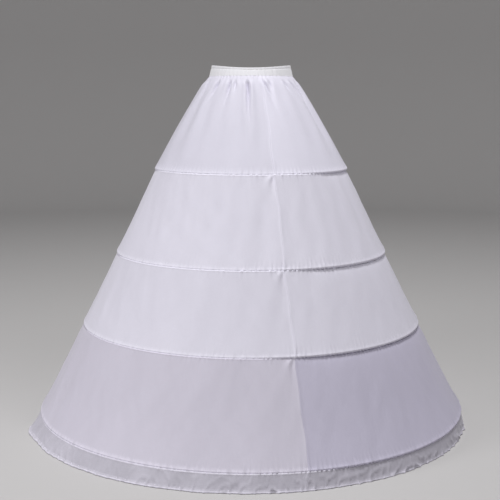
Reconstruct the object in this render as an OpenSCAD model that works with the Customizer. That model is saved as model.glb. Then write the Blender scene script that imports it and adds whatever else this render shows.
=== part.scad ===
// Hoop petticoat: an A-line skirt of four cloth tiers. Each tier is two panels joined at the front
// and back seams, and its lower edge is turned up into a tunnel that holds a hoop. The next tier
// hangs from behind that tunnel. The top tier is gathered into an elastic waistband, and a narrow
// frill hangs below the last hoop. Millimetres, +Z up, the hem on z = 0, the front towards -Y.

/* [Skirt] */
// Height from the hem to the top of the waistband
skirt_h = 1050; // [1000:1:1150]
// Outside radius of the hem
hem_r = 655; // [645:1:690]
// Angle of the front seam from straight ahead, towards +X
seam_deg = 13; // [0:1:45]

/* [Hoops] */
// Radius of hoop 1, the top one, to the middle of its tube
hoop_1_r = 281; // [240:1:330]
// Radius of hoop 2
hoop_2_r = 397; // [360:1:450]
// Radius of hoop 3
hoop_3_r = 499; // [460:1:550]
// Radius of hoop 4
hoop_4_r = 631; // [590:1:640]
// Height of hoop 1 above the hem
hoop_1_z = 757; // [680:1:820]
// Height of hoop 2
hoop_2_z = 513; // [460:1:580]
// Height of hoop 3
hoop_3_z = 303; // [250:1:360]
// Height of hoop 4
hoop_4_z = 46; // [40:1:80]
// Outside diameter of the hoop tube
hoop_d = 6; // [4:0.5:9]
// Wall of the hoop tube
hoop_wall = 1.2; // [0.8:0.1:1.6]
// Space between the two ends of a hoop
hoop_end_gap = 1; // [0.5:0.5:4]
// Length of the pin that joins the two ends
pin_len = 60; // [40:5:100]

/* [Cloth] */
// Thickness of one layer of cloth
cloth_t = 1.2; // [0.8:0.1:1.6]
// How far each top edge reaches up behind the tunnel above it
edge_tuck = 7; // [4:0.5:12]
// Turn of a tier's lower edge round its hoop, in degrees
tunnel_turn = 300; // [270:5:305]
// Depth of the seam allowance inside the two upright seams
seam_depth = 8; // [4:0.5:12]
// Width of each panel's edge along the upright seams
seam_w = 2; // [1:0.1:3]
// How far the upright seams stand out
seam_rise = 0.8; // [0.4:0.1:1.5]

/* [Waistband] */
// Inside radius at the waist
waist_r = 114; // [95:1:125]
// Height of the free edge above the elastic
heading_h = 6.5; // [4:0.5:12]
// Height of the elastic
elastic_h = 11; // [8:0.5:25]
// Thickness of the elastic
elastic_t = 1.5; // [1:0.1:2.5]
// How far the gathered top edge reaches into the waistband
waist_tuck = 5; // [4:0.5:10]
// Ruches round the waistband
ruches = 60; // [40:2:80]
// Depth of a ruche
ruche_depth = 0.5; // [0.3:0.1:1.5]

/* [Gathers] */
// Gathers in each panel of the top tier
gathers = 12; // [8:1:14]
// Depth of a full gather
gather_depth = 8; // [3:0.5:12]
// Distance below the waistband at which a gather is fullest
gather_peak = 26; // [15:1:40]
// Flare of the cloth where it leaves the waistband, in degrees from upright
flare_deg = 54; // [30:1:60]
// Length over which that flare straightens
flare_len = 40; // [30:5:120]

/* [Frill] */
// Flutes in each panel of the frill
flutes = 18; // [8:2:24]
// Depth of a flute at the hem
flute_depth = 4; // [0:0.5:8]
// Height of the turned hem
hem_fold = 7; // [4:0.5:12]

/* [Clearances] */
// Space between a piece and its seat
seat_gap = 0.3; // [0.2:0.05:0.5]
// Space round a pin in its tube
pin_gap = 0.1; // [0.05:0.05:0.2]

/* [Hidden] */
$fn = 240;
tiers = 4;
sides = ["right", "left"];

cloth_colour = [0.86, 0.85, 0.90];
tube_colour = [0.93, 0.93, 0.91];
pin_colour = [0.62, 0.63, 0.66];

hoop_r = [hoop_1_r, hoop_2_r, hoop_3_r, hoop_4_r];
hoop_z = [hoop_1_z, hoop_2_z, hoop_3_z, hoop_4_z];
bore_d = hoop_d - 2 * hoop_wall;
tunnel_in = hoop_d / 2 + seat_gap;
tunnel_out = tunnel_in + cloth_t;
tunnel_steps = 8;

// Directions of the two seams, measured from +X
front_seam = seam_deg - 90;
back_seam = front_seam + 180;

// The waistband's own stack, from the waist outwards and from its lower edge upwards
slot_r = waist_r + cloth_t;
slot_w = max(elastic_t, cloth_t) + 2 * seat_gap;
casing_r = slot_r + slot_w + cloth_t;
heading_r = waist_r + 2 * cloth_t;
slot_h = waist_tuck + elastic_h + 2 * seat_gap;
casing_h = slot_h + cloth_t;
band_z = skirt_h - heading_h - casing_h;
stitch_h = 1.5;
stitch_dip = cloth_t / 2;
ruche_steps = 4;

gather_steps = 6;
flute_steps = 4;
gather_rows = [0, 0.035, 0.11, 0.24, 0.48];

// Angle in degrees that a length spans on a circle
function span(length, radius) = length / radius * 180 / PI;

// Unit vectors in the half plane of the profile: out of the wall, and up along it
function out(tilt) = [cos(tilt), sin(tilt)];
function up(tilt) = [-sin(tilt), cos(tilt)];

// Point of a profile turned to an angle round the axis
function turned(p, angle) = [p.x * cos(angle), p.x * sin(angle), p.y];

// Tilt of a wall whose outer face passes inside a circle at a and outside a circle at b
function wall_tilt(a, a_radius, b, b_radius) =
    let (d = a - b)
    atan2(d.y, d.x) - acos((a_radius + b_radius) / norm(d));

function arc(centre, radius, from, to, steps) =
    [for (k = [0 : steps]) centre + radius * out(from + (to - from) * k / steps)];

// Middle of hoop i in the profile
function hoop_at(i) = [hoop_r[i - 1], hoop_z[i - 1]];

// Cloth turned up round a hoop, from the outer face of a wall round to its inner face, whose flats
// keep clear of the hoop
function tunnel(centre, tilt) = concat(
    arc(centre, tunnel_out, tilt, tilt - tunnel_turn, tunnel_steps),
    arc(centre, tunnel_in / cos(tunnel_turn / tunnel_steps / 2), tilt - tunnel_turn, tilt, tunnel_steps)
);

// Where a wall's outer face passes behind the tunnel of hoop i
function hang_point(i, tilt) = hoop_at(i) - (tunnel_out + seat_gap) * out(tilt);

// Lower tiers
function tier_tilt(i) = wall_tilt(hoop_at(i - 1), tunnel_out + seat_gap, hoop_at(i), tunnel_out);

function tier_profile(i) =
    let (tilt = tier_tilt(i), top = hang_point(i - 1, tilt) + edge_tuck * up(tilt))
    concat([top], tunnel(hoop_at(i), tilt), [top - cloth_t * out(tilt)]);

// Seam allowance of a tier, clear of the tunnels above and below it
function seam_profile(i) =
    let (
        tilt = tier_tilt(i),
        top = hang_point(i - 1, tilt) - 2 * tunnel_out * up(tilt),
        low = hoop_at(i) + tunnel_out * out(tilt) + (edge_tuck + 2 * tunnel_out) * up(tilt),
        depth = (cloth_t + seam_depth) * out(tilt),
        rise = seam_rise * out(tilt)
    )
    [top + rise, low + rise, low - depth, top - depth];

// Top tier: outer face of the cloth, from the waistband out to the tunnel of hoop 1
waist_point = [slot_r + (slot_w + cloth_t) / 2, band_z - cloth_t];
flare_point = waist_point + flare_len * [sin(flare_deg), -cos(flare_deg)];
top_tilt = wall_tilt(flare_point, 0, hoop_at(1), tunnel_out);
tunnel_point = hoop_at(1) + tunnel_out * out(top_tilt);
top_drop = norm(tunnel_point - waist_point);

function top_point(t) =
    (1 - t) * (1 - t) * waist_point + 2 * t * (1 - t) * flare_point + t * t * tunnel_point;

function top_out(t) =
    let (along = (1 - t) * (flare_point - waist_point) + t * (tunnel_point - flare_point))
    [-along.y, along.x] / norm(along);

// Share of the full depth that a gather has at a distance below the waistband
function gather_share(drop, peak) =
    drop / peak * exp(1 - drop / peak) * (1 - pow(drop / top_drop, 2));

// Gathers differ in size and length in a fixed order
function gather_size(k) = 0.75 + 0.25 * sin(137.5 * k);
function gather_reach(k) = gather_peak * (1.35 + 0.55 * sin(97 * k + 40));

// How far the cloth stands out of its mean surface: round gathers with a crease between them
function gather_offset(angle, drop) =
    let (
        place = angle / 180 * gathers,
        k = floor(place),
        round = sin(180 * (place - k)) * gather_size(k) * gather_share(drop, gather_reach(k))
    )
    gather_depth * (round - 0.5 * gather_share(drop, gather_peak));

// Profile of the top tier at one angle. On a seam column the cloth is thicker both ways.
function top_profile(angle, on_seam) =
    let (
        top = [waist_point.x, band_z + waist_tuck],
        inward = [cloth_t, 0],
        faces = [for (t = gather_rows)
            let (
                seam = on_seam && t > 0,
                mean = top_point(t) + gather_offset(angle, t * top_drop) * top_out(t)
            )
            [
                mean + (seam ? seam_rise : 0) * top_out(t),
                mean - (cloth_t + (seam ? seam_depth : 0)) * top_out(t)
            ]
        ]
    )
    concat(
        [top],
        [for (f = faces) f[0]],
        tunnel(hoop_at(1), top_tilt),
        [for (k = [len(faces) - 1 : -1 : 0]) faces[k][1]],
        [top - inward]
    );

// Angles of the top tier's columns, with a seam edge at both ends
top_seam = span(seam_w, hoop_1_r);
top_columns = concat(
    [[0, true], [top_seam, true], [1.2 * top_seam, false]],
    [for (k = [1 : gathers * gather_steps - 1]) [180 * k / (gathers * gather_steps), false]],
    [[180 - 1.2 * top_seam, false], [180 - top_seam, true], [180, true]]
);

// Frill: its wall runs from behind the tunnel of the last hoop to the hem
frill_tilt = wall_tilt(hoop_at(tiers), tunnel_out + seat_gap, [hem_r, 0], 0);

function frill_profile(angle) =
    let (
        hang = hang_point(tiers, frill_tilt),
        top = hang + edge_tuck * up(frill_tilt),
        flute = [flute_depth / 2 * cos(360 * flutes * angle / 180), 0],
        fold = hem_fold / cos(frill_tilt) * up(frill_tilt),
        layer = [cloth_t / cos(frill_tilt), 0],
        hem = [hem_r - flute_depth / 2, 0] + flute,
        share = 1 - norm(fold) / norm(hang),
        fold_top = hem + fold - (1 - share) * flute
    )
    [top, hang, hem, hem - 2 * layer, fold_top - 2 * layer, fold_top - layer, hang - layer, top - layer];

// Solid swept from column to column, each column a list of points round its outline
module swept(columns) {
    count = len(columns[0]);
    last = len(columns) - 1;
    skin = [for (i = [0 : last - 1], j = [0 : count - 1])
        let (a = i * count + j, b = i * count + (j + 1) % count)
        each [[a, b, b + count], [a, b + count, a + count]]
    ];
    ends = [
        [for (j = [count - 1 : -1 : 0]) j],
        [for (j = [0 : count - 1]) last * count + j]
    ];
    polyhedron([for (c = columns, p = c) p], concat(skin, ends), convexity = 12);
}

// Turns a panel from its own half turn to its side of the skirt
module on_side(side) {
    rotate([0, 0, side == "right" ? front_seam : back_seam])
        children();
}

module top_panel(side) {
    color(cloth_colour)
        on_side(side)
            swept([for (c = top_columns) [for (p = top_profile(c[0], c[1])) turned(p, c[0])]]);
}

module tier_panel(i, side) {
    seam_span = span(seam_w, hoop_r[i - 1]);
    color(cloth_colour)
        on_side(side) {
            rotate_extrude(angle = 180)
                polygon(tier_profile(i));
            for (from = [0, 180 - seam_span])
                rotate([0, 0, from])
                    rotate_extrude(angle = seam_span)
                        polygon(seam_profile(i));
        }
}

module frill_panel(side) {
    steps = flutes * flute_steps;
    color(cloth_colour)
        on_side(side)
            swept([for (k = [0 : steps])
                let (angle = 180 * k / steps)
                [for (p = frill_profile(angle)) turned(p, angle)]
            ]);
}

// Ring of ruched cloth round the waist, from one height to another
module ruched_ring(radius, from, to) {
    steps = ruches * ruche_steps;
    translate([0, 0, from])
        linear_extrude(to - from)
            polygon([for (k = [0 : steps - 1])
                let (angle = 360 * k / steps)
                (radius + ruche_depth / 2 * (1 - cos(ruches * angle))) * out(angle)
            ]);
}

module waistband() {
    stitch_z = band_z + casing_h;
    color(cloth_colour)
        difference() {
            union() {
                ruched_ring(casing_r, band_z, stitch_z);
                ruched_ring(heading_r, stitch_z + stitch_h, skirt_h);
                translate([0, 0, stitch_z])
                    cylinder(r = heading_r - stitch_dip, h = stitch_h);
            }
            translate([0, 0, band_z - 1])
                cylinder(r = waist_r, h = skirt_h - band_z + 2);
            translate([0, 0, band_z - 1])
                rotate_extrude()
                    translate([slot_r, 0])
                        square([slot_w, slot_h + 1]);
        }
}

module waist_elastic() {
    color(tube_colour)
        translate([0, 0, band_z + waist_tuck + seat_gap])
            rotate_extrude()
                translate([slot_r + (slot_w - elastic_t) / 2, 0])
                    square([elastic_t, elastic_h]);
}

module hoop(i) {
    gap_span = span(hoop_end_gap, hoop_r[i - 1]);
    color(tube_colour)
        translate([0, 0, hoop_z[i - 1]])
            rotate([0, 0, back_seam + gap_span / 2])
                rotate_extrude(angle = 360 - gap_span)
                    translate([hoop_r[i - 1], 0])
                        difference() {
                            circle(d = hoop_d);
                            circle(d = bore_d);
                        }
}

module hoop_pin(i) {
    pin_span = span(pin_len, hoop_r[i - 1]);
    color(pin_colour)
        translate([0, 0, hoop_z[i - 1]])
            rotate([0, 0, back_seam - pin_span / 2])
                rotate_extrude(angle = pin_span)
                    translate([hoop_r[i - 1], 0])
                        circle(d = bore_d - 2 * pin_gap);
}

waistband();
waist_elastic();
for (s = sides) {
    top_panel(s);
    frill_panel(s);
    for (i = [2 : tiers])
        tier_panel(i, s);
}
for (i = [1 : tiers]) {
    hoop(i);
    hoop_pin(i);
}
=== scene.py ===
"""Hoop petticoat: gathered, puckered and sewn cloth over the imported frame, with its studio."""

import math

import bpy
import numpy as np
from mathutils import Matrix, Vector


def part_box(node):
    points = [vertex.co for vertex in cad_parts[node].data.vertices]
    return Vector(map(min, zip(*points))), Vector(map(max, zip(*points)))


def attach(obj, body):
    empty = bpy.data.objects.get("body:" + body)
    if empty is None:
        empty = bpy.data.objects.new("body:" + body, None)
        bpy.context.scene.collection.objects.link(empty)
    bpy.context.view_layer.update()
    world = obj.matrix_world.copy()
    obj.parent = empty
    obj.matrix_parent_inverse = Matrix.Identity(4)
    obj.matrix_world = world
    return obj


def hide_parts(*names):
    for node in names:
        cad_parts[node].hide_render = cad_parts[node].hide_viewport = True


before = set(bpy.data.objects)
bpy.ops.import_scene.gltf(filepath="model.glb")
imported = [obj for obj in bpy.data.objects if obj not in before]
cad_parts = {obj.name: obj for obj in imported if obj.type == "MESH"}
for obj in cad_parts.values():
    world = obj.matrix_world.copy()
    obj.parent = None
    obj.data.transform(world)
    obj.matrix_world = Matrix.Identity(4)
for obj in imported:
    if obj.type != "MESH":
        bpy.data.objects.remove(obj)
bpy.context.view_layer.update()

MM = 0.001
TIERS = 4
SIDES = ("right", "left")

# Cloth, and the tunnels that it makes round the hoops
CLOTH = 0.5 * MM
COLUMN = 3.4 * MM
TUNNEL_WALL = 1.5 * MM
TUNNEL_ROOM = TUNNEL_WALL - CLOTH - 0.1 * MM
TUNNEL_TURNS = np.radians([15, 31, 47, 64, 82, 102, 126, 160, 210, 260, 300])
RIDGE_SEAT = 4.3 * MM
TURN_UP = 6 * MM
TURN_UP_OUT = 0.5 * MM

# Edge of the next piece, sewn behind a tunnel and brought round under it
SEAT_GAP = 0.3 * MM
TUCK_ANGLES = np.radians([-205, -170, -140, -110, -82, -60])
UNDER_TILT = math.radians(50)
EDGE_ROOM = 0.1 * MM

# Camera that fits the photograph, with the hem on the floor
LENS = 72.0
SENSOR = 36.0
CAMERA_AT = (-0.003, -2.991, 0.95)
CAMERA_PITCH = math.radians(8.4)


# Sizes from the frame


def hoop_ring(i):
    """Profile point (radius, height) of the middle of hoop i, and the radius of its tube."""
    low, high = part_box(f"hoop_{i}")
    tube = (high.z - low.z) / 2
    return np.array([(high.x - low.x) / 2 - tube, (high.z + low.z) / 2]), tube


HOOPS = {i: hoop_ring(i)[0] for i in range(1, TIERS + 1)}
TUNNEL = hoop_ring(1)[1] + TUNNEL_WALL
RIDGE_LIFT = math.acos(RIDGE_SEAT / TUNNEL)
BAND_LOW, BAND_HIGH = (corner.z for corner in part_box("waistband"))
BAND_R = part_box("waistband")[1].x

# The gathers and the casing's inner side, so far in from the elastic's outer face
GATHERS_IN, CASING_IN = 0.5 * MM, 2.7 * MM
SLOT_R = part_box("waist_elastic")[1].x - GATHERS_IN
WAIST_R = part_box("waist_elastic")[1].x - CASING_IN

HEM_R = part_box("frill_right")[1].x
PIN_AT = np.mean([v.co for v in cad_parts["hoop_pin_1"].data.vertices], axis=0)
BACK_SEAM = math.atan2(PIN_AT[1], PIN_AT[0])
FRONT_SEAM = BACK_SEAM - math.pi


# Small curves and angles


def out(tilt):
    """Direction out of a wall with a tilt, as (radius, height)."""
    return np.array([math.cos(tilt), math.sin(tilt)])


def up(tilt):
    """Direction up along a wall with a tilt."""
    return np.array([-math.sin(tilt), math.cos(tilt)])


def bell(x):
    """1 at zero, falling off smoothly on both sides."""
    return np.exp(-(x**2))


def fade(distance, reach):
    """1 at a sewn line, falling off over a distance on either side of it."""
    return np.exp(-np.abs(distance) / reach)


def smooth_step(x, low, high):
    """0 below one value and 1 above another, with a smooth rise between them."""
    t = np.clip((x - low) / (high - low), 0, 1)
    return t * t * (3 - 2 * t)


def wrapped(turn):
    """An angle brought to within half a turn of zero."""
    return (turn + math.pi) % (2 * math.pi) - math.pi


def spread(low, high, step):
    """Even stations from one value to another, about a step apart."""
    return list(np.linspace(low, high, max(2, round((high - low) / step) + 1)))


def lengths(points):
    """Distances between points that follow each other."""
    return np.linalg.norm(np.diff(points, axis=0), axis=1)


# Profiles: rows of points down the cloth, with the way out of it


class Profile:
    """Rows of a piece of cloth: points and outward directions, with the distance run along them.

    The top is the run of the sewn top edge, the length goes from there to the foot of the wall,
    and the whitening share says for each row how far it is of double cloth; the same values
    also paint a highlight along the ridges and the hem.
    """

    def __init__(self, points, normals, double_and_highlight, length=0.0, top=0.0):
        self.points = np.array(points)
        self.normals = np.array(normals)
        self.double_and_highlight = np.array(double_and_highlight)[:, None]
        self.run = np.concatenate([[0.0], np.cumsum(lengths(self.points))])
        self.length = length
        self.top = top

    def below(self):
        """Distance of each row below the sewn top edge, as a column."""
        return (self.run - self.top)[:, None]

    def row_at(self, below):
        """The row nearest to a distance below the sewn top edge."""
        return int(np.argmin(np.abs(self.below() - below)))


def wall_tilt(a, a_radius, b, b_radius):
    """Tilt of a wall that passes inside a circle at a and outside a circle at b."""
    d = a - b
    return math.atan2(d[1], d[0]) - math.acos((a_radius + b_radius) / np.linalg.norm(d))


def tunnel_foot(start, centre):
    """Tilt of a wall that comes down onto a hoop from a point, and the place where it meets it."""
    tilt = wall_tilt(start, 0.0, centre, RIDGE_SEAT)
    return tilt, centre + TUNNEL * out(tilt + RIDGE_LIFT)


def tunnel_rows(centre, tilt):
    """Cloth round a hoop, from the foot of a wall, and then up flat behind it."""
    angles = tilt + RIDGE_LIFT - TUNNEL_TURNS
    points = [centre + TUNNEL * out(a) for a in angles]
    normals = [out(a) for a in angles]
    points.append(points[-1] + TURN_UP * up(tilt) + TURN_UP_OUT * out(tilt))
    normals.append(out(tilt))
    return points, normals


def tuck_rows(centre):
    """Sewn top edge of the piece below a hoop: it comes from behind the tunnel and round under it."""
    points = [centre + (TUNNEL + SEAT_GAP) * out(a) for a in TUCK_ANGLES]
    normals = [-out(a) for a in TUCK_ANGLES[:-1]] + [out(UNDER_TILT)]
    return points, normals


# Rows of a tier, close together near its two sewn edges
NEAR_TOP = np.array([1.5, 3.5, 6, 9.5, 15, 23]) * MM
NEAR_FOOT = np.array([36, 27, 20, 15, 11, 8, 5.5, 3, 0]) * MM
TIER_ROW = 20 * MM


def tier_profile(i):
    """A lower tier, sewn under the hoop above and ending round its own."""
    points, normals = tuck_rows(HOOPS[i - 1])
    start = points[-1]
    tilt, foot = tunnel_foot(start, HOOPS[i])
    length = np.linalg.norm(foot - start)
    top = lengths(points).sum()
    stations = list(NEAR_TOP) + spread(NEAR_TOP[-1], length - NEAR_FOOT[0], TIER_ROW)[1:-1]
    stations += list(length - NEAR_FOOT)
    # Whitening share: double cloth where the turn-up lies behind, also a painted highlight on the
    # ridge
    double_and_highlight = [1.0] * len(points) + [bell((length - d) / TURN_UP) for d in stations]
    points += [start + d / length * (foot - start) for d in stations]
    normals += [out(tilt)] * len(stations)
    more, more_normals = tunnel_rows(HOOPS[i], tilt)
    double_and_highlight += [1.0] * len(more)
    return Profile(points + more, normals + more_normals, double_and_highlight, length, top)


# The top tier's curve: its flare out of the waistband, and its rows as shares of the curve;
# the nominal depth turns a share into a distance from the tunnel
FLARE = math.radians(54)
FLARE_LEN = 40 * MM
BRIM = 22 * MM
WAIST_TUCK = 3 * MM
SEWN_HEIGHT = 4.6 * MM
NOMINAL_DEPTH = 300 * MM
TOP_SHARES = np.concatenate([
    np.linspace(0, 0.4, 24)[:-1],
    np.linspace(0.4, 0.92, 12)[:-1],
    [0.92, 0.945, 0.965, 0.98, 0.99, 1.0],
])


def top_profile():
    """The gathered top tier, from inside the waistband out to hoop 1."""
    start = np.array([SLOT_R, BAND_LOW + SEWN_HEIGHT])
    bend = start + FLARE_LEN * np.array([math.sin(FLARE), -math.cos(FLARE)])
    tilt, foot = tunnel_foot(bend, HOOPS[1])
    points = [start + [0, WAIST_TUCK], start + [0, WAIST_TUCK / 2]]
    tucked = len(points)
    normals = [out(0.0)] * tucked
    for t in TOP_SHARES:
        points.append((1 - t) ** 2 * start + 2 * t * (1 - t) * bend + t * t * foot)
        way = (1 - t) * (bend - start) + t * (foot - bend)
        normals.append(np.array([-way[1], way[0]]) / np.linalg.norm(way))
    length = lengths(points[tucked:]).sum()
    # Whitening share: double cloth near the tunnel, also a painted highlight on the ridge
    double_and_highlight = [1.0] * tucked + list(bell((1 - TOP_SHARES) * NOMINAL_DEPTH / TURN_UP))
    more, more_normals = tunnel_rows(HOOPS[1], tilt)
    double_and_highlight += [1.0] * len(more)
    return Profile(points + more, normals + more_normals, double_and_highlight, length, WAIST_TUCK)


# The frill's hem: its fold, and how it is moved aside with a corner and drawn in behind that
HEM_FOLD = 7 * MM
HEM_EDGE = 3.5 * MM
HEM_ROUND = 0.9 * MM
HEM_IN = 1 * MM
HEM_TURNS = np.radians([35, 70, 110, 145, 180])
HEM_INNER = (2.5 * MM, HEM_FOLD)
HEM_ASIDE = -12 * MM
HEM_CORNER = math.radians(196.5)
CORNER_OUT = 7 * MM
CORNER_HALF = math.radians(4)
HEM_DRAWN = 16 * MM
DRAWN_FROM, DRAWN_FULL = math.radians(2), math.radians(12)
DRAWN_EASES, DRAWN_ENDS = math.radians(60), math.radians(100)
FRILL_NEAR_TOP = [1.5 * MM, 3 * MM]
FRILL_ROW = 5 * MM
FRILL_ROWS_END = 9 * MM
FRILL_NEAR_HEM = (7, 5.5, 4, 2, 0)
# Whitening of the hem: partly its real double fold, partly a painted highlight along its edge
FOLD_WHITE, EDGE_WHITE = 0.3, 0.7


def frill_profile():
    """The frill, sewn under the last hoop, with its hem turned up inside."""
    points, _ = tuck_rows(HOOPS[TIERS])
    edge = len(points) - 1
    start = points[edge]
    top = lengths(points).sum()
    hem = np.array([HEM_R - HEM_IN, 2 * HEM_ROUND])
    tilt = wall_tilt(start, 0.0, hem, 0.0)
    length = np.linalg.norm(hem - start)
    stations = FRILL_NEAR_TOP + spread(FRILL_ROW, length - FRILL_ROWS_END, FRILL_ROW)
    stations += [length - d * MM for d in FRILL_NEAR_HEM]
    from_hem = length - np.array(stations)
    double_and_highlight = [1.0] * len(points)
    # The hem's fold and edge are whitened: double cloth, and a painted highlight on the edge
    double_and_highlight += list(FOLD_WHITE * (from_hem < HEM_FOLD) + EDGE_WHITE * (from_hem < HEM_EDGE))
    points += [start - d * up(tilt) for d in stations]
    centre = hem - HEM_ROUND * out(tilt)
    points += [centre + HEM_ROUND * out(tilt - a) for a in HEM_TURNS]
    inside = centre - HEM_ROUND * out(tilt)
    points += [inside + d * up(tilt) for d in HEM_INNER]
    double_and_highlight += [1.0] * (len(points) - len(double_and_highlight))
    normals = [[1.0, 0.0]] * len(points)
    normals[edge] = out(UNDER_TILT)
    return Profile(points, normals, double_and_highlight, length, top)


# Relief: how far the cloth stands out of its profile


class Waves:
    """Smooth noise round the skirt and down the cloth, a sum of waves that close on themselves.

    Turns are the fewest and the most waves to a turn, and slant their lean down the cloth.
    """

    def __init__(self, seed, turns, slant=0.0, count=26):
        rng = np.random.default_rng(seed)
        self.turns = rng.integers(round(turns[0]), round(turns[1]) + 1, count)
        self.slant = rng.uniform(-slant, slant, count)
        self.phase = rng.uniform(0, 2 * math.pi, count)

    def __call__(self, angle, run=0.0):
        total = 0.0
        for h, k, p in zip(self.turns, self.slant, self.phase):
            total = total + np.cos(h * angle + k * run + p)
        return total * math.sqrt(2 / len(self.turns))


def round_the(radius, wavelengths):
    """How many waves of each length go round a circle."""
    return tuple(2 * math.pi * radius / w for w in wavelengths)


# Seams in front and behind: a ridge with a join along it, that sways a little on its way down
SEAM_RISE = 1.4 * MM
SEAM_HALF = 5.0 * MM
JOIN_DIP = 0.3 * SEAM_RISE
JOIN_HALF = 0.8 * MM
SEAM_SWAY = 2.5 * MM
SWAY_QUICK, SWAY_SLOW, SWAY_PHASE = 41, 17, 1
SEAM_COLUMNS = np.array([0.0, 0.7, 1.5, 2.4, 3.4, 4.6, 6.2, 8.5]) * MM
SEAM_CLOTH = 5 * MM


def seam_distance(angle, radius):
    """Signed distance round the skirt from the nearer of the two seams."""
    turn = (angle - FRONT_SEAM + math.pi / 2) % math.pi - math.pi / 2
    return turn * radius


def seam_relief(angle, radius):
    """The two folded edges of a seam, with the join between them."""
    d = seam_distance(angle, radius)
    return SEAM_RISE * bell(d / SEAM_HALF) - JOIN_DIP * bell(d / JOIN_HALF)


# Drag lines below a crossing: place beside the seam, slope, half width and height, in mm
DRAG_LINES = ((-8, -0.6, 8, 3.4), (3, 0.4, 5, 1.0), (-5, -0.15, 4.5, -2.8))
DRAG_REACH = 45 * MM
DRAG_ONSET = 8 * MM

# Dimples on both sides of the seam above a crossing
DIMPLE = 0.9 * MM
DIMPLE_ASIDE, DIMPLE_HALF, DIMPLE_REACH = 7 * MM, 5 * MM, 9 * MM


def crossing_relief(angle, radius, below, above):
    """Drag lines where a seam meets the sewn edges of a tier."""
    d = seam_distance(angle, radius)
    under = np.clip(below, 0, None)
    lines = 0.0
    for place, slope, half, height in DRAG_LINES:
        lines = lines + height * MM * bell((d - place * MM - slope * under) / (half * MM))
    reach = fade(under, DRAG_REACH) * np.clip(under / DRAG_ONSET, 0, 1)
    dimple = bell((np.abs(d) - DIMPLE_ASIDE) / DIMPLE_HALF)
    dimple = dimple * fade(np.clip(above, 0, None), DIMPLE_REACH)
    return reach * lines - DIMPLE * dimple * (above > 0)


# Cloth under a hoop: depths on the right, on the left and on the frill, and where each tier begins
TUCK_RIGHT = 1.0 * MM
TUCK_LEFT = 3.0 * MM
TUCK_FRILL = -2.5 * MM
TUCK_FROM = {2: 0.5, 3: 0.15, 4: 0.0}
TUCK_FROM_FRILL = 0.2
TUCK_CHANGE = 6
TUCK_REACH = 70 * MM
FLUSH_EDGE = 0.45
LEFT_END = math.radians(186)
LEFT_END_HALF = math.radians(13)
LEFT_END_SHARE = 0.9
GROOVE = 3.5 * MM
GROOVE_REACH = 9 * MM


def tuck_relief(angle, below, start, right=TUCK_RIGHT):
    """Under a hoop the cloth lies flush on the left of the front seam and is drawn in on its right.

    The start is the sine of the angle from the seam at which the cloth begins to be drawn in.
    """
    side = np.tanh(TUCK_CHANGE * (np.sin(angle - FRONT_SEAM) - start))
    under = np.clip(below, 0, None)
    flush = TUCK_LEFT * (1 - LEFT_END_SHARE * bell(wrapped(angle - LEFT_END) / LEFT_END_HALF))
    depth = np.where(side > 0, right, flush * (1 + FLUSH_EDGE * bell(below / MM))) * side
    groove = GROOVE * np.clip(side, 0, None) * fade(under, GROOVE_REACH)
    return -(depth * fade(under, TUCK_REACH) + groove) * (below > -EDGE_ROOM)


# Stitches along a tunnel draw the cloth together, with less effect round the hoop
STITCHED_REACH = 11 * MM
STITCHED_ROUND = 0.55


def stitched_share(above):
    """How far the cloth is drawn together at a distance above its tunnel."""
    return np.where(above > 0, fade(above, STITCHED_REACH), STITCHED_ROUND)


# A lower tier: longest and shortest waves, and depths, some with more on the right
FOOT_PUCKERS = (15 * MM, 8 * MM)
TOP_PUCKERS = (22 * MM, 10 * MM)
WRINKLES = (160 * MM, 45 * MM)
SAG = {2: 1.5 * MM, 3: 1.5 * MM, 4: 3.5 * MM}
FOLD_DEPTH = 0.9 * MM
WRINKLE_DEPTH = 0.3 * MM
FOOT_DEPTH, FOOT_MORE = 1.1 * MM, 0.7 * MM
LOOSE_DEPTH, LOOSE_MORE = 1.0 * MM, 0.6 * MM
LOOSE_REACH = 8 * MM
SEAM_FROM = -1 * MM


def tier_relief(i, profile):
    """Relief of a lower tier: sag, soft folds, wrinkles, puckers at both edges and its seams."""
    radius, top_radius = HOOPS[i][0], HOOPS[i - 1][0]
    puckers = Waves(10 + i, round_the(radius, FOOT_PUCKERS), slant=40)
    top_puckers = Waves(20 + i, round_the(top_radius, TOP_PUCKERS), slant=60)
    folds = Waves(30 + i, turns=(9, 34), slant=3)
    wrinkles = Waves(35 + i, round_the(radius, WRINKLES), slant=90)

    def relief(angle):
        below = profile.below()
        above = profile.length - below
        share = np.clip(below / profile.length, 0, 1)
        middle = np.sin(math.pi * share)
        local = profile.points[:, :1]
        right = np.sin(angle - FRONT_SEAM)
        loose = (LOOSE_DEPTH + LOOSE_MORE * right) * (below > -EDGE_ROOM)
        gathered = (FOOT_DEPTH + FOOT_MORE * right) * puckers(angle, below) * stitched_share(above)
        return (
            FOLD_DEPTH * folds(angle, below) * middle
            - SAG[i] * np.sin(math.pi * share**1.5)
            + WRINKLE_DEPTH * wrinkles(angle, below) * middle**0.5
            + tuck_relief(angle, below, TUCK_FROM[i])
            + np.clip(gathered, -TUNNEL_ROOM, None)
            + loose * np.clip(top_puckers(angle, below), 0, None) * fade(below, LOOSE_REACH)
            + seam_relief(angle, local) * (below > SEAM_FROM)
            + crossing_relief(angle, local, below, above)
        )

    return relief


# Creases seen under the waistband: degrees from straight ahead, length, depth and lean
FRONT_CREASES = (
    (-62, 50, 6.0, 0.0), (-41, 52, 8.0, -0.2), (-25, 60, 9.0, 0.0), (-19, 34, 7.0, 0.05),
    (-4, 110, 10.0, 0.06), (15, 60, 7.5, 0.25), (22, 38, 7.5, 0.0), (44, 34, 6.0, 0.1),
    (55, 55, 7.0, 0.2),
)

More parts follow.
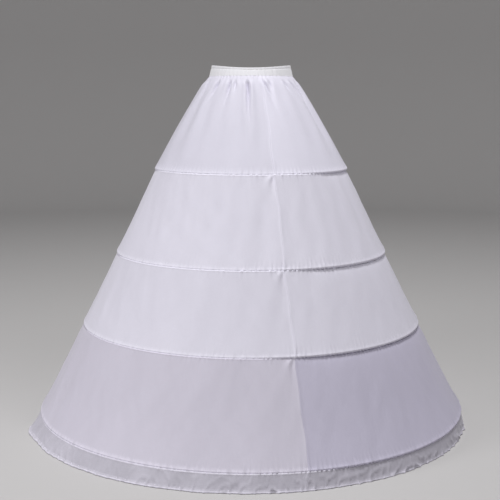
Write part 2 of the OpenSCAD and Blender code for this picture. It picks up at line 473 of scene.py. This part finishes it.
# Creases on the sides and the back: where they run, in degrees, and the ranges they are drawn from
REST_FROM, REST_TO = 70.0, 290
REST_LENGTHS, REST_DEPTHS, REST_LEANS, REST_STEPS = (20, 80), (5.0, 8.0), (-0.2, 0.2), (7, 18)

# Shape of a crease
CREASE_WIDTH = 3.6 * MM
CREASE_WIDENS = 0.5
CREASE_ONSET = (0.9, 1.9)
LIP_HEIGHT, LIP_PLACE, LIP_HALF = 0.3, 2.6, 1.6


def all_creases():
    """The creases in front, and as many again to a turn on the sides and the back."""
    rng = np.random.default_rng(41)
    creases = list(FRONT_CREASES)
    angle = REST_FROM
    while angle < REST_TO:
        drawn = [rng.uniform(*ends) for ends in (REST_LENGTHS, REST_DEPTHS, REST_LEANS)]
        creases.append((angle, *drawn))
        angle += rng.uniform(*REST_STEPS)
    return creases


def crease_relief(angle, radius, below):
    """Narrow folds that start at the brim below the waistband, each with a soft lip on both sides."""
    total = 0.0
    onset = smooth_step(below / BRIM, *CREASE_ONSET)
    drop = np.clip(below - BRIM, 0, None)
    for degrees, length, depth, lean in all_creases():
        turn = wrapped(angle + math.pi / 2 - math.radians(degrees))
        across = turn * radius - lean * drop
        width = CREASE_WIDTH * (1 + CREASE_WIDENS * drop / (length * MM))
        lips = bell((np.abs(across) - LIP_PLACE * width) / (LIP_HALF * width))
        shape = LIP_HEIGHT * lips - bell(across / width)
        total = total + depth * MM * shape * onset * bell(drop / (length * MM))
    return total


# The top tier: fine gathers, deepest a little way below the waistband, and soft folds
GATHER_DEPTH = 0.3 * MM
GATHER_AT = 9 * MM
TOP_FOLD_DEPTH = 1.3 * MM
TOP_FOOT_DEPTH = 0.8 * MM
TOP_SEAM_FROM = 0.3


def top_relief(profile):
    """Relief of the top tier: creases, gathers, soft folds, puckers at its tunnel and its seams."""
    gathers = Waves(45, turns=(46, 80), slant=8)
    folds = Waves(61, turns=(8, 24), slant=2)
    puckers = Waves(71, round_the(HOOPS[1][0], FOOT_PUCKERS), slant=40)

    def relief(angle):
        below = profile.below()
        above = profile.length - below
        share = np.clip(below / profile.length, 0, 1)
        drop = np.clip(below, 0, None) / GATHER_AT
        local = profile.points[:, :1]
        gathered = TOP_FOOT_DEPTH * puckers(angle, below) * stitched_share(above)
        return (
            crease_relief(angle, local, below)
            + GATHER_DEPTH * gathers(angle, below) * drop * np.exp(1 - drop)
            + TOP_FOLD_DEPTH * folds(angle, below) * np.sin(math.pi * share) ** 1.3
            + np.clip(gathered, -TUNNEL_ROOM, None)
            + seam_relief(angle, local) * np.clip(below / BRIM - TOP_SEAM_FROM, 0, 1)
            + crossing_relief(angle, local, 0 * below, above)
        )

    return relief


# The frill: longest and shortest waves, and depths, some with more on the right
CRINKLES = (240 * MM, 60 * MM)
HEM_WAVES = (70 * MM, 25 * MM)
FRILL_PUCKERS = (18 * MM, 9 * MM)
FLUTE_DEPTH = 0.8 * MM
CRINKLE_DEPTH, CRINKLE_MORE = 3.2 * MM, 0.8 * MM
CRINKLE_HALF, CRINKLE_LEVEL = 0.28, 0.35
HEM_LIP, HEM_LIP_REACH = 1.5 * MM, 3 * MM
HEM_WAVE_DEPTH, HEM_WAVE_MORE = 0.4 * MM, 0.4 * MM
FRILL_PUCKER_DEPTH = 0.45 * MM
FRILL_TOP_REACH, FRILL_HEM_REACH, FRILL_HEM_SHARE = 7 * MM, 5 * MM, 0.8
FRILL_FROM = -5 * MM


def drawn_in(corner):
    """How far the hem is drawn in behind its corner, by the angle from the corner."""
    begins = smooth_step(-corner, DRAWN_FROM, DRAWN_FULL)
    return HEM_DRAWN * begins * (1 - smooth_step(-corner, DRAWN_EASES, DRAWN_ENDS))


def crinkles(noise):
    """Narrow folds along the contours of a noise."""
    return bell(noise / CRINKLE_HALF) - CRINKLE_LEVEL


def frill_relief(profile):
    """Relief of the frill: flutes, crinkles, a wavy hem with its corner, puckers and its seams."""
    flutes = Waves(81, turns=(16, 44), slant=6)
    creases = Waves(82, round_the(HEM_R, CRINKLES), slant=130, count=14)
    hem_waves = Waves(84, round_the(HEM_R, HEM_WAVES), slant=20)
    puckers = Waves(83, round_the(HEM_R, FRILL_PUCKERS), slant=60)

    def relief(angle):
        below = profile.length - np.abs(profile.length - profile.below())
        above = profile.length - below
        share = np.clip(below / profile.length, 0, 1)
        right = np.sin(angle - FRONT_SEAM)
        corner = wrapped(angle - HEM_CORNER)
        sewn = fade(below, FRILL_TOP_REACH)
        sewn = sewn + FRILL_HEM_SHARE * fade(above - HEM_FOLD, FRILL_HEM_REACH)
        crinkled = (CRINKLE_DEPTH + CRINKLE_MORE * right) * crinkles(creases(angle, below))
        waved = (HEM_WAVE_DEPTH + HEM_WAVE_MORE * right) * hem_waves(angle, below)
        return (below > FRILL_FROM) * (
            FLUTE_DEPTH * flutes(angle, below) * share
            + crinkled * share**0.5
            + HEM_LIP * fade(above, HEM_LIP_REACH)
            + waved * share**3
            + FRILL_PUCKER_DEPTH * puckers(angle, below) * sewn
            + CORNER_OUT * bell(corner / CORNER_HALF) * share**1.5
            - drawn_in(corner) * share
            + tuck_relief(angle, below, TUCK_FROM_FRILL, TUCK_FRILL)
            + seam_relief(angle, profile.points[:, :1])
        )

    return relief


# Meshes


def placed(name, data):
    """A new object in the scene."""
    obj = bpy.data.objects.new(name, data)
    bpy.context.collection.objects.link(obj)
    return obj


def smooth_mesh(name, points, faces):
    """A mesh with smooth shading."""
    mesh = bpy.data.meshes.new(name)
    mesh.from_pydata(points, [], faces)
    mesh.polygons.foreach_set("use_smooth", [True] * len(faces))
    return mesh


def panel_angles(side, radius):
    """Angles of a panel's columns, close together along its two seams."""
    start = FRONT_SEAM if side == "right" else BACK_SEAM
    edge = SEAM_COLUMNS / radius
    inner = spread(edge[-1], math.pi - edge[-1], COLUMN / radius)[1:-1]
    return start + np.concatenate([edge, inner, math.pi - edge[::-1]])


def cloth_points(profile, relief, angles, aside=0.0):
    """Points of the cloth, by row and by column, with some rows moved aside along X."""
    offset = relief(angles[None, :])
    radius = profile.points[:, :1] + offset * profile.normals[:, :1]
    height = profile.points[:, 1:] + offset * profile.normals[:, 1:]
    level = profile.points[:, 1:]
    sway = SEAM_SWAY * np.sin(SWAY_QUICK * level) * np.cos(SWAY_SLOW * level + SWAY_PHASE)
    turned = angles[None, :] + sway / profile.points[:, :1]
    return np.stack([radius * np.cos(turned) + aside, radius * np.sin(turned), height], axis=-1)


def grid_faces(rows, columns, closed):
    """Quads of a grid, with their outer side the one that the rows' directions point to."""
    last = columns if closed else columns - 1
    row, column = np.meshgrid(np.arange(rows - 1), np.arange(last), indexing="ij")
    a = row * columns + column
    b = row * columns + (column + 1) % columns
    return np.stack([a, a + columns, b + columns, b], axis=-1).reshape(-1, 4)


def cloth_mesh(name, points, run, double_and_highlight, closed=False):
    """A sheet of cloth with its thickness, and its length round and down in metres as UV map."""
    rows, columns = points.shape[:2]
    faces = grid_faces(rows, columns, closed)
    mesh = smooth_mesh(name, points.reshape(-1, 3).tolist(), faces.tolist())
    across = np.concatenate([[0.0], np.cumsum(lengths(points[rows // 2]))])
    uv = np.stack(np.broadcast_arrays(across[None, :], run[:, None]), axis=-1).reshape(-1, 2)
    layer = mesh.uv_layers.new(name="cloth")
    layer.data.foreach_set("uv", uv[faces.reshape(-1)].astype(np.float32).ravel())
    values = np.broadcast_to(double_and_highlight, (rows, columns)).ravel().astype(np.float32)
    # The whitening share, for double cloth and as a painted highlight, goes to the material as an
    # attribute
    mesh.attributes.new("double_and_highlight", "FLOAT", "POINT").data.foreach_set("value", values)
    obj = placed(name, mesh)
    thickness = obj.modifiers.new("cloth thickness", "SOLIDIFY")
    thickness.thickness = CLOTH
    thickness.offset = -1.0
    return obj


def dress(obj, nodes, material):
    """Puts a piece on the part: its body, the nodes that it stands for, and its material."""
    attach(obj, "root")
    if nodes:
        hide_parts(*nodes)
    obj.data.materials.append(material)


# How white double cloth and its painted highlight look: its mean, painted shade that makes it less on
# the right, and its patches
WHITE_MEAN, RIGHT_PAINTED_SHADE, WHITE_PATCHES = 0.75, 0.1, 0.25


def patchy_with_painted_side_shade(angles):
    """How white double cloth and its painted highlight are round the skirt: patchy, and less on the
    right as painted shade.
    """
    patches = WHITE_PATCHES * Waves(7, turns=(50, 240))(angles)
    # Lower on the right: painted shade
    return np.clip(WHITE_MEAN - RIGHT_PAINTED_SHADE * np.sin(angles - FRONT_SEAM) + patches, 0, 1)


# Sewing thread: each stitch is a small spindle with six corners
STITCH = 2.1 * MM
STITCH_PITCH = 2.6 * MM
THREAD = 0.18 * MM
THREAD_OUT, THREAD_IN = 0.4 * THREAD, 0.5 * THREAD
FOOT_STITCHES = 5.5 * MM
HEM_STITCHES = HEM_FOLD - 1 * MM
STITCHES = {side: [] for side in SIDES}
SPINDLE = np.array([
    [0, 2, 4], [2, 1, 4], [1, 3, 4], [3, 0, 4], [2, 0, 5], [1, 2, 5], [3, 1, 5], [0, 3, 5],
])


def stitch_row(profile, relief, row, angles, aside=0.0):
    """Stitches along one row of the cloth, each a small spindle lying on it."""
    step = STITCH_PITCH / profile.points[row, 0]
    starts = np.arange(angles[0] + step / 2, angles[-1] - step, step)
    points = cloth_points(profile, relief, starts, aside)[row]
    ends = cloth_points(profile, relief, starts + step * STITCH / STITCH_PITCH, aside)[row]
    wide, high = profile.normals[row]
    turned = np.arctan2(points[:, 1], points[:, 0])
    off = np.stack([wide * np.cos(turned), wide * np.sin(turned), high + 0 * turned], axis=-1)
    along = (ends - points) / np.linalg.norm(ends - points, axis=1)[:, None]
    across = np.cross(off, along)
    middle = (points + ends) / 2
    corners = [points, ends, middle + THREAD * across, middle - THREAD * across]
    corners += [middle + THREAD_OUT * off, middle - THREAD_IN * off]
    return np.stack(corners, axis=1)


def sew(name, rows, material):
    """One piece for all the stitches of some rows."""
    stitches = np.concatenate(rows)
    firsts = np.arange(len(stitches)) * stitches.shape[1]
    faces = (SPINDLE[None] + firsts[:, None, None]).reshape(-1, 3)
    mesh = smooth_mesh(name, stitches.reshape(-1, 3).tolist(), faces.tolist())
    dress(placed(name, mesh), [], material)


def sewn_panel(name, node, profile, relief, side, radius, material, held, whiter):
    """One panel, with its stitches; its seams are whiter by the share given, partly for the doubled
    seam cloth and partly as a painted highlight.
    """
    hung = held == "hung"
    share = np.clip(profile.below() / profile.length, 0, 1)
    aside = HEM_ASIDE * share if hung else 0.0
    angles = panel_angles(side, radius)
    points = cloth_points(profile, relief, angles, aside)
    row = profile.row_at(profile.length - (HEM_STITCHES if hung else FOOT_STITCHES))
    STITCHES[side].append(stitch_row(profile, relief, row, angles, aside))
    # Seams whitened: partly doubled seam cloth, partly a painted highlight on the raised seam
    on_seam = whiter * bell(seam_distance(angles, profile.points[:, :1]) / SEAM_CLOTH)
    # Whitening for double cloth, which is also a painted highlight, with painted shade on the right
    double_cloth_lit = profile.double_and_highlight * patchy_with_painted_side_shade(angles)
    obj = cloth_mesh(name, points, profile.run, np.maximum(double_cloth_lit, on_seam))
    dress(obj, [node], material)


# Waistband: the free edge above its stitches, its slope, and how it is raised at the sides
HEADING = 6.5 * MM
STITCH_DIP = 0.7 * MM
DIP_HALF = 1.3 * MM
EDGE_THICK = 1.4 * MM
BAND_THICK = 3.7 * MM
BAND_FLARE = 5 * MM
BAND_OVER = 1.5 * MM
FRONT_DIP = 2.5 * MM
SIDE_RISE = 7 * MM
BAND_COLUMN = 1.6 * MM
BAND_INNER_ROWS, HEADING_ROWS, BAND_OUTER_ROWS = 8, 8, 16
BAND_EDGE_TURNS = np.radians([150, 120, 90, 60, 30])
RUCHE_DEPTH, FINE_RUCHE_DEPTH = 0.16 * MM, 0.08 * MM


def band_profile():
    """The casing: up the inside, over the free edge and down the outside, over the top tier."""
    inner, thin, outer = WAIST_R, WAIST_R + EDGE_THICK, WAIST_R + BAND_THICK + BAND_FLARE
    edge = (thin - inner) / 2
    top = BAND_HIGH - edge
    points = [[inner, z] for z in np.linspace(BAND_LOW, top, BAND_INNER_ROWS)]
    normals = [[-1.0, 0.0]] * BAND_INNER_ROWS
    for a in BAND_EDGE_TURNS:
        points.append([inner + edge + edge * math.cos(a), top + edge * math.sin(a)])
        normals.append([math.cos(a), math.sin(a)])
    stitch = BAND_HIGH - HEADING
    low = BAND_LOW - BAND_OVER
    heading = np.linspace(top, stitch, HEADING_ROWS)
    for z in np.concatenate([heading, np.linspace(stitch, low, BAND_OUTER_ROWS)[1:]]):
        share = (top - z) / (top - low)
        dip = STITCH_DIP * bell((z - stitch) / DIP_HALF)
        points.append([thin + (outer - thin) * share - dip, z])
        normals.append([1.0, 0.0])
    return Profile(points, normals, [1.0] * len(points))


def band_relief(profile):
    """Relief of the waistband: ruches on its outer side."""
    ruches = Waves(91, turns=(30, 64), slant=25)
    fine = Waves(92, turns=(90, 170), slant=60)
    z = profile.points[:, 1:]
    face = np.clip(profile.normals[:, :1], 0, 1)

    def relief(angle):
        return face * (RUCHE_DEPTH * ruches(angle, z) + FINE_RUCHE_DEPTH * fine(angle, z))

    return relief


def raised(points):
    """Points of the band with its upper edge lifted at the sides and lowered in front and behind."""
    turn = np.arctan2(points[..., 1], points[..., 0])
    share = np.clip((points[..., 2] - BAND_LOW) / (BAND_HIGH - BAND_LOW), 0, 1)
    points[..., 2] += share * (SIDE_RISE * np.cos(turn) ** 2 - FRONT_DIP * np.sin(turn) ** 2)
    return points


def waistband(material):
    """The casing of the elastic, all the way round, with its stitches."""
    profile = band_profile()
    relief = band_relief(profile)
    columns = round(2 * math.pi * BAND_R / BAND_COLUMN)
    angles = BACK_SEAM + np.arange(columns) * 2 * math.pi / columns
    points = raised(cloth_points(profile, relief, angles))
    obj = cloth_mesh("waistband_casing", points, profile.run, profile.double_and_highlight, closed=True)
    dress(obj, ["waistband"], material)
    # Of the two rows at the stitches' height, the one that faces out
    from_stitches = np.abs(profile.points[:, 1] - BAND_HIGH + HEADING)
    outer_row = int(np.argmin(from_stitches - profile.normals[:, 0]))
    STITCHES["left"].append(raised(stitch_row(profile, relief, outer_row, angles)))


# Materials


def shaded(colour, share):
    """A colour made lighter or darker."""
    return tuple(share * c for c in colour)


# Sockets of a mix node: its factor, and its two inputs and its output for numbers and for colours
MIX_FACTOR = 0
MIX_NUMBERS = (2, 3, 0)
MIX_COLOURS = (6, 7, 2)


class Nodes:
    """Short way to lay out a material's nodes."""

    def __init__(self, name):
        self.material = bpy.data.materials.new(name)
        self.material.use_nodes = True
        self.tree = self.material.node_tree
        self.shader = self.tree.nodes["Principled BSDF"]

    def add(self, kind, **values):
        """A new node, with values for its settings or its inputs."""
        node = self.tree.nodes.new(kind)
        for key, value in values.items():
            if hasattr(node, key):
                setattr(node, key, value)
            else:
                node.inputs[key].default_value = value
        return node

    def link(self, a, b):
        """Links an output to an input."""
        self.tree.links.new(a, b)

    def place(self):
        """The object's own coordinates."""
        return self.add("ShaderNodeTexCoord").outputs["Object"]

    def stretched(self, source, scale):
        """Coordinates times a scale."""
        mapping = self.add("ShaderNodeMapping")
        mapping.inputs["Scale"].default_value = scale
        self.link(source, mapping.inputs["Vector"])
        return mapping.outputs["Vector"]

    def noise(self, source, scale, detail):
        """Noise, stretched by a scale."""
        node = self.add("ShaderNodeTexNoise", Scale=1.0, Detail=detail)
        self.link(self.stretched(source, scale), node.inputs["Vector"])
        return node.outputs["Fac"]

    def wave(self, source, direction, scale):
        """Bands in a direction, stretched by a scale."""
        node = self.add("ShaderNodeTexWave", bands_direction=direction, Scale=1.0)
        self.link(self.stretched(source, scale), node.inputs["Vector"])
        return node.outputs["Fac"]

    def ramp(self, factor, low, high, positions=(0.0, 1.0)):
        """A colour between two, by a factor."""
        node = self.add("ShaderNodeValToRGB")
        for stop, colour, position in zip(node.color_ramp.elements, (low, high), positions):
            stop.position = position
            stop.color = (*colour, 1)
        self.link(factor, node.inputs["Fac"])
        return node.outputs["Color"]

    def bump(self, height, distance, strength, below=None):
        """A bumpy surface, on top of another if one is given."""
        node = self.add("ShaderNodeBump", Distance=distance, Strength=strength)
        self.link(height, node.inputs["Height"])
        if below:
            self.link(below, node.inputs["Normal"])
        return node.outputs["Normal"]

    def finished(self, colour, normal, surface):
        """The material, with its colour, its bumps and the other values of its surface."""
        self.link(colour, self.shader.inputs["Base Color"])
        self.link(normal, self.shader.inputs["Normal"])
        for key, value in surface.items():
            self.shader.inputs[key].default_value = value
        return self.material


# Taffeta: scales of its patterns, distance and strength of its bumps, and its surface
CLOUDS, SLUBS, CRUMPLES = (14, 9, 1), (45, 900, 1), (55, 38, 1)
WARP, WEFT = (700, 1, 1), (1, 620, 1)
CRUMPLE_BUMP, SLUB_BUMP, WEAVE_BUMP = (1.2 * MM, 0.35), (0.2 * MM, 0.25), (0.08 * MM, 0.35)
SLUB_SHARE = 0.35
SHADE_ENDS = (0.3, 0.7)
WHITEST = 0.92
TAFFETA = {
    "Roughness": 0.62, "Specular IOR Level": 0.32, "Sheen Weight": 0.25, "Sheen Roughness": 0.3,
}


def cloth_colour(n, uv, slub, colour, double_and_highlight, vary):
    """Cloudy and slubbed colour, whiter where the cloth lies double and where a highlight is painted.
    """
    first, second, result = MIX_NUMBERS
    both = n.add("ShaderNodeMix", data_type="FLOAT")
    both.inputs[MIX_FACTOR].default_value = SLUB_SHARE
    n.link(n.noise(uv, CLOUDS, detail=4.0), both.inputs[first])
    n.link(slub, both.inputs[second])
    low = shaded(colour, 1 - vary)
    high = tuple(min(1, c) for c in shaded(colour, 1 + vary))
    single = n.ramp(both.outputs[result], low, high, SHADE_ENDS)
    first, second, result = MIX_COLOURS
    # Whitening share from the mesh: double cloth and painted highlight
    layers = n.add("ShaderNodeAttribute", attribute_name="double_and_highlight")
    tint = n.add("ShaderNodeMix", data_type="RGBA")
    n.link(layers.outputs["Fac"], tint.inputs[MIX_FACTOR])
    n.link(single, tint.inputs[first])
    whiter = shaded(colour, min(double_and_highlight, WHITEST / max(colour)))
    tint.inputs[second].default_value = (*whiter, 1)
    return tint.outputs[result]


def taffeta(name, colour, double_and_highlight=1.14, vary=0.025):
    """Plain-woven cloth: threads both ways, slubs along the weft, faint cloudiness and a soft sheen.

    Where the cloth lies double, and where a highlight is painted on ridges, seams and the hem,
    it is whiter, by the share given.
    """
    n = Nodes(name)
    uv = n.add("ShaderNodeUVMap", uv_map="cloth").outputs["UV"]
    slub = n.noise(uv, SLUBS, detail=2.0)
    weave = n.add("ShaderNodeMath", operation="MAXIMUM")
    n.link(n.wave(uv, "X", WARP), weave.inputs[0])
    n.link(n.wave(uv, "Y", WEFT), weave.inputs[1])
    normal = n.bump(n.noise(uv, CRUMPLES, detail=3.0), *CRUMPLE_BUMP)
    normal = n.bump(slub, *SLUB_BUMP, normal)
    normal = n.bump(weave.outputs[0], *WEAVE_BUMP, normal)
    return n.finished(cloth_colour(n, uv, slub, colour, double_and_highlight, vary), normal, TAFFETA)


# Scales, bumps and surfaces of the other materials
STREAKS, STREAK_BUMP, STREAK_SHADE = (60, 60, 900), (0.1 * MM, 0.4), 0.95
RIBS, RIB_BUMP = (1, 1, 220), (0.3 * MM, 0.6)
RIB_LOW, RIB_HIGH = (0.62, 0.62, 0.60), (0.80, 0.80, 0.78)
STRANDS, STRAND_BUMP, STRAND_SHADES = (1000, 1000, 1000), (0.05 * MM, 0.5), (0.94, 1.04)
ELASTIC_SURFACE = {"Roughness": 0.8}
THREAD_SURFACE = {"Roughness": 0.6, "Specular IOR Level": 0.2}


def moulded(name, colour, roughness):
    """Drawn plastic: faint streaks and a slightly uneven surface."""
    n = Nodes(name)
    streak = n.noise(n.place(), STREAKS, detail=2.0)
    shade = n.ramp(streak, shaded(colour, STREAK_SHADE), colour)
    return n.finished(shade, n.bump(streak, *STREAK_BUMP), {"Roughness": roughness})


def ribbed_elastic():
    """Braided elastic: ribs along the band."""
    n = Nodes("ribbed_elastic")
    ribs = n.wave(n.place(), "Z", RIBS)
    return n.finished(n.ramp(ribs, RIB_LOW, RIB_HIGH), n.bump(ribs, *RIB_BUMP), ELASTIC_SURFACE)


def spun_thread(name, colour):
    """Sewing thread: fine strands twisted together."""
    n = Nodes(name)
    strands = n.wave(n.place(), "DIAGONAL", STRANDS)
    shade = n.ramp(strands, *(shaded(colour, share) for share in STRAND_SHADES))
    return n.finished(shade, n.bump(strands, *STRAND_BUMP), THREAD_SURFACE)


# Studio
FLOOR_GREY = (0.50, 0.49, 0.49)
PAPER = {"Roughness": 0.9, "Specular IOR Level": 0.2}
ROOM_R = 6.0
ROOM_BEND = 1.6
ROOM_TOP = 5.0
ROOM_SIDES = 96
FLOOR_FROM, FLOOR_RINGS, BEND_RINGS = 0.5, 10, 16

# Lamps: place, the point that each faces, width and power
LAMPS = {
    "overhead": ((0.0, -0.4, 7.5), (0, 0, 0.5), 1.8, 392),
    "key": ((-2.5, -1.8, 1.6), (0, 0, 0.4), 1.2, 30),
    "fill": ((1.0, -1.1, 2.1), (0, 0, 0.9), 0.8, 10),
}
ROOM_LIGHT, ROOM_STRENGTH = (0.97, 0.97, 1.0, 1), 0.04


def paper():
    """Plain paper for the studio, which is no part of the object."""
    n = Nodes("studio_paper")
    for key, value in {"Base Color": (*FLOOR_GREY, 1), **PAPER}.items():
        n.shader.inputs[key].default_value = value
    return n.material


def studio():
    """A pale round floor that sweeps up into the backdrop on every side."""
    curve = [(r, 0.0) for r in np.linspace(FLOOR_FROM, ROOM_R, FLOOR_RINGS)]
    for a in np.linspace(0, math.pi / 2, BEND_RINGS)[1:]:
        curve.append((ROOM_R + ROOM_BEND * math.sin(a), ROOM_BEND - ROOM_BEND * math.cos(a)))
    curve.append((ROOM_R + ROOM_BEND, ROOM_TOP))
    turns = np.linspace(0, 2 * math.pi, ROOM_SIDES, endpoint=False)
    points = [(r * math.cos(t), r * math.sin(t), z) for r, z in curve for t in turns]
    faces = grid_faces(len(curve), ROOM_SIDES, closed=True).tolist()
    faces.append(list(range(ROOM_SIDES)))
    obj = placed("studio_sweep", smooth_mesh("studio_sweep", points, faces))
    obj.data.materials.append(paper())


def soft_light(name, place, target, size, energy):
    """A round lamp at a place, facing a point."""
    data = bpy.data.lights.new(name, "AREA")
    data.shape = "DISK"
    data.size = size
    data.energy = energy
    obj = placed(name, data)
    obj.location = place
    way = np.array(target) - np.array(place)
    flat = math.hypot(way[0], way[1])
    obj.rotation_euler = (math.atan2(flat, -way[2]), 0.0, math.atan2(-way[0], way[1]))


def lights():
    """The lamps, and faint light from all round."""
    for name, values in LAMPS.items():
        soft_light(name, *values)
    world = bpy.data.worlds.new("studio")
    world.use_nodes = True
    background = world.node_tree.nodes["Background"]
    background.inputs["Color"].default_value = ROOM_LIGHT
    background.inputs["Strength"].default_value = ROOM_STRENGTH
    bpy.context.scene.world = world


def camera():
    """The photograph's camera."""
    data = bpy.data.cameras.new("camera")
    data.lens = LENS
    data.sensor_width = SENSOR
    obj = placed("camera", data)
    obj.location = CAMERA_AT
    obj.rotation_euler = (math.pi / 2 - CAMERA_PITCH, 0.0, 0.0)
    bpy.context.scene.camera = obj


# The part: colours, with painted shade darkening the top tier, tier 4 and the frill, and painted
# light by side;
# how much whiter double cloth and seams are, partly as a painted highlight; and how far the frill's
# colour varies
BAND = (0.885, 0.88, 0.92)
# Top tier: the same cloth as tiers 2 and 3, darkened as painted shade, and lighter on the right as
# painted light
TOP_PAINTED_SHADE = (0.685, 0.667, 0.765)
TOP_PAINTED_SIDE_LIGHT = {"left": 0.99, "right": 1.06}
UPPER = (0.74, 0.72, 0.82)
# Tier 4: the same cloth darkened as painted shade, its right half more so
LOWER_PAINTED_SHADE = {"left": (0.645, 0.615, 0.715), "right": (0.570, 0.543, 0.668)}
# Frill: the same cloth darkened as painted shade
FRILL_PAINTED_SHADE = (0.545, 0.525, 0.60)
# Whitening of double cloth on tier 4 and the frill, also painting the highlights on hoop 4's ridge
# and the hem
LOWER_DOUBLE_AND_HIGHLIGHT = 1.2
FRILL_DOUBLE_AND_HIGHLIGHT, FRILL_VARY = 1.42, 0.12
# Seams are whitened partly for their doubled cloth and partly as a painted highlight, fainter low
# down
SEAM_WHITE, SEAM_FAINT = 0.6, 0.1
THREAD_COLOUR = (0.79, 0.77, 0.87)
TUBE_COLOUR, TUBE_ROUGH = (0.85, 0.85, 0.82), 0.45
PIN_COLOUR, PIN_ROUGH = (0.35, 0.36, 0.38), 0.5


def panels(side):
    """The panels of one side, from the waist down to the hem."""
    top, frill = top_profile(), frill_profile()
    # Painted shade on the top tier, lightened on its right as painted light
    top_cloth = taffeta(f"taffeta_top_{side}", shaded(TOP_PAINTED_SHADE, TOP_PAINTED_SIDE_LIGHT[side]))
    upper_cloth = taffeta(f"taffeta_upper_{side}", UPPER)
    # Tier 4's cloth carries painted shade, darker on the right
    lower_cloth = taffeta(f"taffeta_lower_{side}", LOWER_PAINTED_SHADE[side], LOWER_DOUBLE_AND_HIGHLIGHT)
    # The frill's cloth carries painted shade
    frill_cloth = taffeta(f"taffeta_frill_{side}", FRILL_PAINTED_SHADE, FRILL_DOUBLE_AND_HIGHLIGHT, FRILL_VARY)
    sewn_panel(
        f"top_tier_{side}", f"tier_1_{side}", top, top_relief(top), side, HOOPS[1][0],
        top_cloth, "gathered", SEAM_WHITE,
    )
    for i in range(2, TIERS + 1):
        profile = tier_profile(i)
        cloth, whiter = (upper_cloth, SEAM_WHITE) if i < TIERS else (lower_cloth, SEAM_FAINT)
        sewn_panel(
            f"cloth_tier_{i}_{side}", f"tier_{i}_{side}", profile, tier_relief(i, profile), side,
            HOOPS[i][0], cloth, "stretched", whiter,
        )
    sewn_panel(
        f"hem_frill_{side}", f"frill_{side}", frill, frill_relief(frill), side, HEM_R,
        frill_cloth, "hung", SEAM_FAINT,
    )


def recolour(node, material):
    """Gives a CAD solid that is kept a better material."""
    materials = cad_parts[node].data.materials
    materials.clear()
    materials.append(material)


def petticoat():
    """All the pieces: waistband, panels, stitches, and the solids inside them."""
    waistband(taffeta("taffeta_band", BAND))
    for side in SIDES:
        panels(side)
    thread = spun_thread("thread", THREAD_COLOUR)
    for side in SIDES:
        sew(f"stitching_{side}", STITCHES[side], thread)
    tube = moulded("hoop_tube", TUBE_COLOUR, TUBE_ROUGH)
    pin = moulded("hoop_pin", PIN_COLOUR, PIN_ROUGH)
    for i in range(1, TIERS + 1):
        recolour(f"hoop_{i}", tube)
        recolour(f"hoop_pin_{i}", pin)
    recolour("waist_elastic", ribbed_elastic())


bpy.context.scene.view_settings.view_transform = "Standard"
camera()
studio()
lights()
petticoat()
